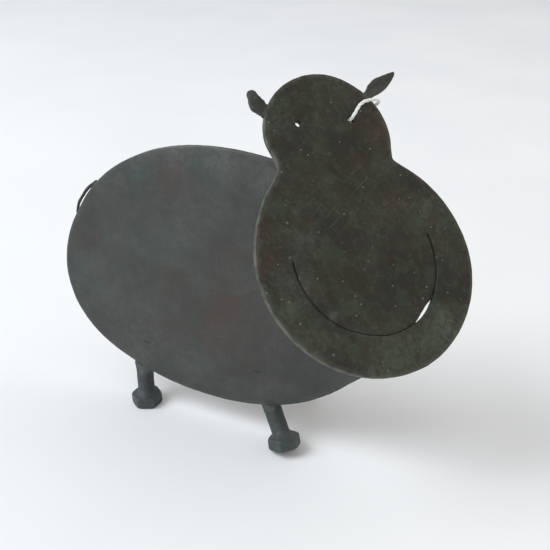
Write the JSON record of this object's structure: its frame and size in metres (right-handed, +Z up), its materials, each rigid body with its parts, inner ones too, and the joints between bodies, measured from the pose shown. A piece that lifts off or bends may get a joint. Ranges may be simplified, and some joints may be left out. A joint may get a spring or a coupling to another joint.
{
  "type": "hippopotamus figure",
  "caption": "Standing hippopotamus figure of welded steel plate: an oval body on edge, a tilted figure-eight head, and legs made from hexagon bolts.",
  "frame": {"origin": "on the floor, halfway along the figure's length and halfway across its width, feet at Z = 0", "axes": "+X from the rump to the muzzle, along the body plate; +Y from the near face of the body plate, which the head turns towards, to its far face; +Z up"},
  "size_m": [0.1907, 0.1022, 0.1634],
  "materials": {
    "body_steel": "dark grey-green patina on sheet steel, satin to matt, a few brown patches",
    "head_steel": "darker olive-brown patina with pale green mottling and fine pale specks",
    "small_steel": "dark patina, rubbed along the edges",
    "bolt_steel": "dark grey patina on bolt steel",
    "weld": "rippled weld bead under the same dark patina",
    "string": "white twisted cotton string"
  },
  "bodies": {
    "root": {"body_plate": "body_steel", "front_far_leg": "bolt_steel", "front_far_leg_weld": "weld", "front_near_leg": "bolt_steel", "front_near_leg_weld": "weld", "head_plate": "head_steel", "left_ear": "small_steel", "left_ear_weld": "weld", "neck_weld": "weld", "rear_far_leg": "bolt_steel", "rear_far_leg_weld": "weld", "rear_near_leg": "bolt_steel", "rear_near_leg_weld": "weld", "right_ear": "small_steel", "right_ear_weld": "weld", "tag_string": "string", "tag_string_knot": "string", "tail": "small_steel", "tail_weld": "weld"}
  },
  "joints": []
}
